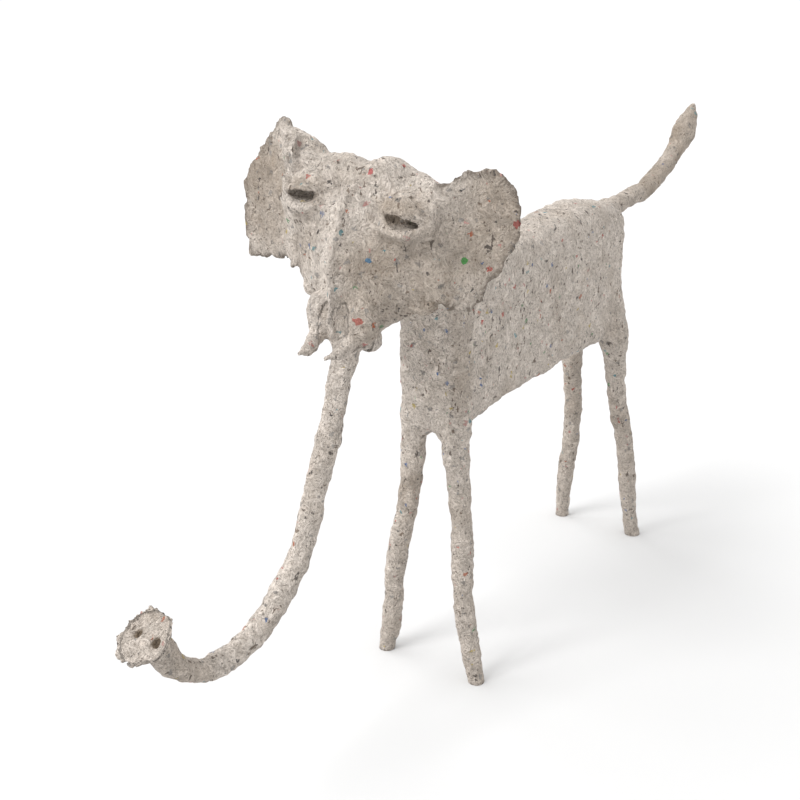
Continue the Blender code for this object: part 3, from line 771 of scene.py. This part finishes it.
def draw_lines(target):
    """Raise the rolls of the face a little from the skin, and press its folds in."""
    mesh = target.data
    points = read_points(mesh)
    normals = np.empty(3 * len(mesh.vertices))
    mesh.vertex_normals.foreach_get("vector", normals)
    offsets = np.zeros(len(points))
    for places, reach, height in skin_lines():
        near, gaps = gaps_to_path(points, lay_on_skin(target, places), 3 * reach)
        offsets[near] += height * np.exp(-(gaps.min(axis=1) / reach) ** 2)
    write_points(mesh, points + normals.reshape(-1, 3) * offsets[:, None])


def store_grain(target):
    """Keep coordinates whose third axis runs with the fibres: up the body, and along the trunk and tail."""
    points = read_points(target.data)
    grain = points.copy()
    for path, reach in ((trunk_path(), 2.4 * TRUNK_RADIUS), (tail_path(), 1.7 * TAIL_RADIUS)):
        steps = np.linalg.norm(np.diff(path, axis=0), axis=1)
        lengths = np.concatenate([[0], np.cumsum(steps)])
        tangents = np.gradient(path, axis=0)
        tangents /= np.linalg.norm(tangents, axis=1)[:, None]
        near, gaps = gaps_to_path(points, path, reach)
        closest = gaps.argmin(axis=1)
        held = gaps.min(axis=1) < reach
        near, closest = near[held], closest[held]
        offset = points[near] - path[closest]
        along = tangents[closest]
        beside = offset[:, 2] * along[:, 1] - offset[:, 1] * along[:, 2]
        ahead = (offset * along).sum(axis=1)
        grain[near] = np.column_stack([points[near, 0], beside, path[0, 2] - lengths[closest] - ahead])
    kept = target.data.attributes
    stored = kept.get("grain") or kept.new("grain", "FLOAT_VECTOR", "POINT")
    stored.data.foreach_set("vector", grain.ravel())


def store_mark(target, name, strengths):
    target.data.attributes.new(name, "FLOAT", "POINT").data.foreach_set("value", strengths)


def store_torn(target):
    """Mark the skin near the ears' torn rims, from 0 to 1: there the material paints the shade under the rims
    and their dark torn edge.
    """
    points = read_points(target.data)
    torn = np.zeros(len(points))
    for side in (-1, 1):
        near, gaps = gaps_to_path(points, np.array(ear_rim(side)), TORN_MARGIN)
        torn[near] = np.maximum(torn[near], np.exp(-(gaps.min(axis=1) / TORN_REACH) ** 2))
    store_mark(target, "torn", torn)


def store_stain_and_shade(target):
    """Mark where the pulp is darker and browner, for its own stains and for painted shade, with the strength
    of the strongest place there.
    """
    points = read_points(target.data)
    stain_and_shade = np.zeros(len(points))
    for middle, reach, strength in (*STAIN_AND_SHADE_PLACES, *nostril_shade_places()):
        out = np.linalg.norm((points - middle) / reach, axis=1)
        stain_and_shade = np.maximum(stain_and_shade, strength * np.exp(-out ** 4))
    store_mark(target, "stain_and_shade", stain_and_shade)


def add_node(tree, kind, inputs=None, **settings):
    """Add a node with its settings and its inputs, each a number or another node's output."""
    made = tree.nodes.new(kind)
    for name, value in settings.items():
        setattr(made, name, value)
    for key, value in (inputs or {}).items():
        if isinstance(value, bpy.types.NodeSocket):
            tree.links.new(value, made.inputs[key])
        else:
            made.inputs[key].default_value = value
    return made


def add_math(tree, operation, *values):
    return add_node(tree, "ShaderNodeMath", dict(enumerate(values)), operation=operation).outputs[0]


def add_vector_math(tree, operation, vector, other):
    """Join two vectors, scale one by a number, or measure the distance between two."""
    key = "Scale" if operation == "SCALE" else 1
    made = add_node(tree, "ShaderNodeVectorMath", {0: vector, key: other}, operation=operation)
    return made.outputs["Value" if operation == "DISTANCE" else "Vector"]


def add_noise(tree, vector, scale, detail, **more):
    inputs = {"Vector": vector, "Scale": scale, "Detail": detail, **more}
    return add_node(tree, "ShaderNodeTexNoise", inputs).outputs


def add_range(tree, value, start, end):
    """How far a value has come from a start to an end, from 0 to 1."""
    inputs = {"Value": value, "From Min": start, "From Max": end}
    return add_node(tree, "ShaderNodeMapRange", inputs).outputs[0]


def add_wander(tree, vector, noise, size):
    """Shift a vector about by a noise's colour, as far as a size says."""
    centred = add_vector_math(tree, "SUBTRACT", noise["Color"], (0.5, 0.5, 0.5))
    return add_vector_math(tree, "ADD", vector, add_vector_math(tree, "SCALE", centred, size))


def add_sockets(tree, inputs, outputs):
    """Give a node group its named inputs and outputs, each a name with its kind."""
    for direction, sockets in (("INPUT", inputs), ("OUTPUT", outputs)):
        for name, kind in sockets:
            tree.interface.new_socket(name, in_out=direction, socket_type="NodeSocket" + kind)


def relief_tree():
    """Lumps, clods and fibres of the pulp, pushed out along the skin and fading out at the soles."""
    tree = bpy.data.node_groups.new("pulp_relief", "GeometryNodeTree")
    sizes = ("Lump Size", "Lump Height", "Clod Size", "Clod Height", "Fibre Size", "Fibre Height")
    inputs = [("Geometry", "Geometry"), ("Material", "Material")] + [(name, "Float") for name in sizes]
    add_sockets(tree, inputs, [("Geometry", "Geometry")])
    given = tree.nodes.new("NodeGroupInput").outputs
    grain = add_node(tree, "GeometryNodeInputNamedAttribute", {"Name": "grain"},
                     data_type="FLOAT_VECTOR").outputs["Attribute"]
    stretched = add_vector_math(tree, "MULTIPLY", grain, (1, 1, 0.3))
    total = 0.0
    for name, vector, detail in (("Lump", grain, 1.0), ("Clod", grain, 2.0), ("Fibre", stretched, 2.0)):
        scale = add_math(tree, "DIVIDE", 1.0, given[name + " Size"])
        swing = add_math(tree, "SUBTRACT", add_noise(tree, vector, scale, detail)[0], 0.5)
        height = add_math(tree, "MULTIPLY", swing, add_math(tree, "MULTIPLY", given[name + " Height"], 2.0))
        total = add_math(tree, "ADD", height, total)
    position = tree.nodes.new("GeometryNodeInputPosition").outputs[0]
    level = add_node(tree, "ShaderNodeSeparateXYZ", {0: position}).outputs["Z"]
    height = add_math(tree, "MULTIPLY", total, add_range(tree, level, *SOLE_FADE))
    normal = tree.nodes.new("GeometryNodeInputNormal").outputs[0]
    offset = add_vector_math(tree, "SCALE", normal, height)
    moved = add_node(tree, "GeometryNodeSetPosition", {"Geometry": given["Geometry"], "Offset": offset})
    real = add_node(tree, "GeometryNodeRealizeInstances", {"Geometry": moved.outputs[0]})
    finished = add_node(tree, "GeometryNodeSetMaterial",
                        {"Geometry": real.outputs[0], "Material": given["Material"]})
    add_node(tree, "NodeGroupOutput", {"Geometry": finished.outputs[0]})
    return tree


def add_relief(target, material):
    modifier = target.modifiers.new("relief", "NODES")
    modifier.node_group = relief_tree()
    values = {"Material": material, "Lump Size": LUMP_SIZE, "Lump Height": LUMP_HEIGHT,
              "Clod Size": CLOD_SIZE, "Clod Height": CLOD_HEIGHT,
              "Fibre Size": FIBRE_SIZE, "Fibre Height": FIBRE_HEIGHT}
    for socket in modifier.node_group.interface.items_tree:
        if socket.name in values:
            modifier[socket.identifier] = values[socket.name]
    apply_modifiers(target)


def flatten_soles(target):
    """Cut the feet level with the floor and close each sole."""
    bm = bmesh.new()
    bm.from_mesh(target.data)
    level = bmesh.ops.bisect_plane(bm, geom=bm.verts[:] + bm.edges[:] + bm.faces[:], plane_co=(0, 0, 0),
                                   plane_no=(0, 0, -1), clear_outer=True)
    edges = [item for item in level["geom_cut"] if isinstance(item, bmesh.types.BMEdge)]
    soles = bmesh.ops.holes_fill(bm, edges=edges, sides=0)["faces"]
    bmesh.ops.triangulate(bm, faces=soles)
    bmesh.ops.recalc_face_normals(bm, faces=bm.faces[:])
    bm.to_mesh(target.data)
    bm.free()


def place_on_solid(target, middle):
    """Move the skin over its solid, and press in what stands out of the solid's box."""
    low, high = (np.array(corner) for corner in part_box("elephant"))
    shift = (low + high) / 2 - middle
    shift[2] = 0
    write_points(target.data, np.clip(read_points(target.data) + shift, low, high))


def build_skin(material):
    """The whole figure as one skin, with the solid's form and the pulp's relief."""
    skin = object_from(
        "elephant_skin", (add_body,), (add_head,), (add_neck,), (add_trunk,), (add_trunk_end,), (add_tail,),
        *[(add_leg, side, front) for side in (-1, 1) for front in (True, False)],
        *each_side(add_leg_root, add_ear, add_ear_web, add_eyelids))
    coarse = read_points(skin.data)
    middle = (coarse.min(axis=0) + coarse.max(axis=0)) / 2
    remesh(skin, 1.2 * SKIN_VOXEL)
    soften(skin, FORM_SOFTENING)
    join_skin(skin, object_from(
        "finer_forms", (add_trunk_end,), (add_ridge,),
        *each_side(add_tusk, add_ear, add_eyelids, add_lid_lips, add_rim_crumbs)))
    remesh(skin, SKIN_VOXEL)
    cut(skin, object_from("hollows", *each_side(add_eye_slot, add_nostril)))
    join_skin(skin, object_from("eyeballs", *each_side(add_eyeball)))
    remesh(skin, SKIN_VOXEL)
    keep_outer_skin(skin)
    soften(skin, SKIN_SOFTENING)
    draw_lines(skin)
    store_grain(skin)
    add_relief(skin, material)
    reshape(skin, "DECIMATE", ratio=min(1.0, TRIANGLE_BUDGET / (2 * len(skin.data.polygons))))
    flatten_soles(skin)
    store_grain(skin)
    store_torn(skin)
    store_stain_and_shade(skin)
    place_on_solid(skin, middle)
    skin.data.polygons.foreach_set("use_smooth", [True] * len(skin.data.polygons))
    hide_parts("elephant")
    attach(skin, "root")


def scraps_group():
    """Bits of paper scattered through the pulp: a mask of uneven spots, and a number for each bit's tone."""
    group = bpy.data.node_groups.new("scattered_scraps", "ShaderNodeTree")
    add_sockets(group, [("Vector", "Vector"), ("Cell Size", "Float"), ("Share", "Float"), ("Radius", "Float"),
                        ("Raggedness", "Float")], [("Mask", "Float"), ("Tone", "Float")])
    given = group.nodes.new("NodeGroupInput").outputs
    scale = add_math(group, "DIVIDE", 1.0, given["Cell Size"])
    wobble = add_noise(group, given["Vector"], add_math(group, "MULTIPLY", scale, 3.0), 2.0)
    ragged = add_math(group, "MULTIPLY", given["Raggedness"], given["Cell Size"])
    moved = add_wander(group, given["Vector"], wobble, ragged)
    cells = add_node(group, "ShaderNodeTexVoronoi", {"Vector": moved, "Scale": scale, "Randomness": 1.0})
    chances = add_node(group, "ShaderNodeSeparateColor", {0: cells.outputs["Color"]}).outputs
    own_radius = add_math(group, "MULTIPLY", given["Radius"], add_math(group, "ADD", chances["Blue"], 0.5))
    gap = add_math(group, "MULTIPLY", cells.outputs["Distance"], given["Cell Size"])
    spot = add_range(group, gap, own_radius, add_math(group, "MULTIPLY", own_radius, 0.8))
    chosen = add_math(group, "LESS_THAN", chances["Red"], given["Share"])
    mask = add_math(group, "MULTIPLY", spot, chosen)
    add_node(group, "NodeGroupOutput", {"Mask": mask, "Tone": chances["Green"]})
    return group


def fibres_group():
    """Matted fibres: a streaky value from 0 to 1 that wanders about the grain."""
    group = bpy.data.node_groups.new("matted_fibres", "ShaderNodeTree")
    add_sockets(group, [("Vector", "Vector"), ("Width", "Float"), ("Stretch", "Float"), ("Bend", "Float")],
                [("Streaks", "Float")])
    given = group.nodes.new("NodeGroupInput").outputs
    sway = add_noise(group, given["Vector"], 38.0, 1.0)
    bent = add_wander(group, given["Vector"], sway, given["Bend"])
    shrink = add_math(group, "DIVIDE", 1.0, given["Stretch"])
    squash = add_node(group, "ShaderNodeCombineXYZ", {0: 1.0, 1: 1.0, 2: shrink}).outputs[0]
    stretched = add_vector_math(group, "MULTIPLY", bent, squash)
    scale = add_math(group, "DIVIDE", 1.0, given["Width"])
    noise = add_noise(group, stretched, scale, 2.0, Roughness=0.65, Distortion=0.4)[0]
    add_node(group, "NodeGroupOutput", {"Streaks": add_range(group, noise, 0.37, 0.63)})
    return group


def mix_colours(tree, factor, low, high):
    """Go from one colour to another; the numbers are the sockets that the node keeps for colours."""
    return add_node(tree, "ShaderNodeMix", {0: factor, 6: low, 7: high}, data_type="RGBA").outputs[2]


def lay_over(tree, colour, other, mask, strength):
    """Cover a colour by another where a mask says, at a strength."""
    return mix_colours(tree, add_math(tree, "MULTIPLY", mask, strength), colour, other)


def pulp_material():
    """Matt grey-beige pulp with matted fibres, stains, dark shreds, grey scraps and coloured flakes, and
    painted shade in its crevices, pits, rims, lids and nostrils.
    """
    material = bpy.data.materials.new("paper_pulp")
    material.use_nodes = True
    tree = material.node_tree
    shader = tree.nodes["Principled BSDF"]
    shader.inputs["Roughness"].default_value = 0.95
    shader.inputs["Specular IOR Level"].default_value = 0.25
    grain = add_node(tree, "ShaderNodeAttribute", attribute_name="grain").outputs["Vector"]
    place = tree.nodes.new("ShaderNodeTexCoord").outputs["Object"]
    fibres, scraps = fibres_group(), scraps_group()

    def use_group(group, vector, values):
        """Use a group with its vector and its values, in the order in which the group lists them."""
        return add_node(tree, "ShaderNodeGroup", dict(enumerate((vector, *values))), node_tree=group).outputs

    coarse = use_group(fibres, grain, COARSE_FIBRES)[0]
    fine = use_group(fibres, grain, FINE_FIBRES)[0]
    across = add_node(tree, "ShaderNodeVectorRotate", {"Vector": grain, "Angle": 1.1, "Axis": (0.8, 0.6, 0)},
                      rotation_type="AXIS_ANGLE").outputs[0]
    crossing = use_group(fibres, across, CROSSING_FIBRES)[0]
    crumbs = add_noise(tree, place, 380.0, 3.0, Roughness=0.7)[0]
    # Painted shade in the pits of the crumbly bump: the colour darkens where the crumbs lie lowest.
    pit_shade = add_range(tree, crumbs, 0.50, 0.36)
    clouds = add_noise(tree, place, 19.0, 4.0)[0]
    stained = add_range(tree, clouds, 0.50, 0.74)
    torn = add_node(tree, "ShaderNodeAttribute", attribute_name="torn").outputs["Fac"]

    fibres_height = add_math(tree, "MAXIMUM", fine, crossing)
    # Where the coarse fibres lie low the pulp goes darker: painted shade in the crevices between them.
    colour = mix_colours(tree, coarse, PULP_CREVICE_SHADE, PULP_LIGHT)
    colour = lay_over(tree, colour, PULP_PALE, fibres_height, 0.62)
    colour = lay_over(tree, colour, STAIN_AND_SHADE_BROWN, stained, 0.35)
    # This mark darkens the pulp: its own brown on the ears, cheeks, tail, legs and trunk, and painted shade
    # at the chest's edge, under the lids, on the eyeballs and down the nostrils.
    stain_and_shade = add_node(tree, "ShaderNodeAttribute", attribute_name="stain_and_shade").outputs["Fac"]
    uneven = add_math(tree, "MULTIPLY_ADD", clouds, 0.9, -0.02)
    colour = lay_over(tree, colour, STAIN_AND_SHADE_BROWN, stain_and_shade, uneven)
    colour = lay_over(tree, colour, SHADE_AND_RIM_DIRT, pit_shade, 0.50)
    # Along the ears' torn rims the colour darkens: painted shade where the rims stand off the body, with the
    # dark of the torn edge.
    rim_shade_and_dirt = add_math(tree, "MULTIPLY", torn, add_math(tree, "SUBTRACT", 1.3, coarse))
    colour = mix_colours(tree, add_math(tree, "MINIMUM", rim_shade_and_dirt, 0.75), colour, SHADE_AND_RIM_DIRT)
    grey = use_group(scraps, place, GREY_SCRAPS)
    grey_colour = mix_colours(tree, grey["Tone"], SCRAP_DARK, SCRAP_GREY)
    colour = lay_over(tree, colour, grey_colour, grey["Mask"], 0.60)
    upright = add_vector_math(tree, "MULTIPLY", grain, (1, 1, 0.36))
    slanted = add_vector_math(tree, "MULTIPLY", across, (1, 1, 0.33))
    for vector, values in ((upright, UPRIGHT_SHREDS), (slanted, SLANTED_SHREDS), (place, DARK_CRUMBS),
                           (place, DARK_BLOTS)):
        shreds = use_group(scraps, vector, values)
        tint = mix_colours(tree, shreds["Tone"], SHRED_DARK, SHRED_BROWN)
        colour = lay_over(tree, colour, tint, shreds["Mask"], 0.85)
    flakes = use_group(scraps, place, COLOURED_FLAKES)
    ramp = add_node(tree, "ShaderNodeValToRGB", {0: flakes["Tone"]})
    ramp.color_ramp.interpolation = "CONSTANT"
    for k, tint in enumerate(FLAKE_COLOURS):
        position = k / len(FLAKE_COLOURS)
        element = ramp.color_ramp.elements[k] if k < 2 else ramp.color_ramp.elements.new(position)
        element.position = position
        element.color = tint
    worn = add_math(tree, "MULTIPLY_ADD", coarse, 0.4, 0.55)
    colour = lay_over(tree, colour, ramp.outputs["Color"], flakes["Mask"], worn)
    ragged = add_noise(tree, place, 240.0, 2.0)[0]
    for centre, radius, tint in MARKS:
        gap = add_vector_math(tree, "DISTANCE", place, centre)
        edge = add_math(tree, "MULTIPLY_ADD", ragged, 1.5 * radius, 0.05 * radius)
        colour = lay_over(tree, colour, tint, add_math(tree, "LESS_THAN", gap, edge), 0.85)
    tree.links.new(colour, shader.inputs["Base Color"])

    height = add_math(tree, "MULTIPLY", coarse, 0.5)
    for relief, share in ((fibres_height, 0.5), (crumbs, 1.2), (grey["Mask"], 0.2)):
        height = add_math(tree, "ADD", height, add_math(tree, "MULTIPLY", relief, share))
    bump = add_node(tree, "ShaderNodeBump", {"Height": height, "Strength": 1.0, "Distance": BUMP_DEPTH})
    tree.links.new(bump.outputs["Normal"], shader.inputs["Normal"])
    return material


def floor_material():
    """White paper sweep."""
    material = bpy.data.materials.new("white_sweep")
    material.use_nodes = True
    shader = material.node_tree.nodes["Principled BSDF"]
    shader.inputs["Base Color"].default_value = (FLOOR_SHADE, FLOOR_SHADE, FLOOR_SHADE, 1)
    shader.inputs["Roughness"].default_value = 1.0
    return material


def build_floor():
    mesh = bpy.data.meshes.new("studio_floor")
    bm = bmesh.new()
    bmesh.ops.create_grid(bm, x_segments=1, y_segments=1, size=FLOOR_SIZE)
    bm.to_mesh(mesh)
    bm.free()
    mesh.materials.append(floor_material())
    floor = add_object("studio_floor", mesh)


def facing(direction):
    """The turn that looks at the figure from a direction."""
    a, e = (math.radians(angle) for angle in direction)
    ahead = Vector((-math.sin(a) * math.cos(e), math.cos(a) * math.cos(e), -math.sin(e)))
    return ahead.to_track_quat("-Z", "Y")


def add_soft_sun(name, strength, direction, spread):
    """A light from far away, whose shadows soften with its spread."""
    light = bpy.data.lights.new(name, "SUN")
    light.energy = strength
    light.angle = math.radians(spread)
    add_object(name, light).rotation_euler = facing(direction).to_euler()


def build_light():
    """An even white studio, a soft key from the front and a softer fill from the animal's right."""
    world = bpy.data.worlds.new("studio")
    world.use_nodes = True
    background = world.node_tree.nodes["Background"]
    background.inputs["Color"].default_value = (1, 1, 1, 1)
    background.inputs["Strength"].default_value = AMBIENT_LIGHT
    bpy.context.scene.world = world
    add_soft_sun("key", KEY_LIGHT, KEY_DIRECTION, KEY_SPREAD)
    add_soft_sun("fill", FILL_LIGHT, FILL_DIRECTION, FILL_SPREAD)
    bpy.context.scene.view_settings.view_transform = "Standard"


def build_camera():
    camera = bpy.data.cameras.new("camera")
    camera.lens = CAMERA_LENS
    camera.sensor_width = CAMERA_SENSOR
    camera.clip_start, camera.clip_end = CAMERA_RANGE
    viewer = add_object("camera", camera)
    turn = facing(CAMERA_DIRECTION).to_matrix().to_4x4() @ Matrix.Rotation(CAMERA_ROLL, 4, "Z")
    viewer.matrix_world = Matrix.Translation(CAMERA_PLACE) @ turn
    bpy.context.scene.camera = viewer


build_skin(pulp_material())
build_floor()
build_light()
build_camera()
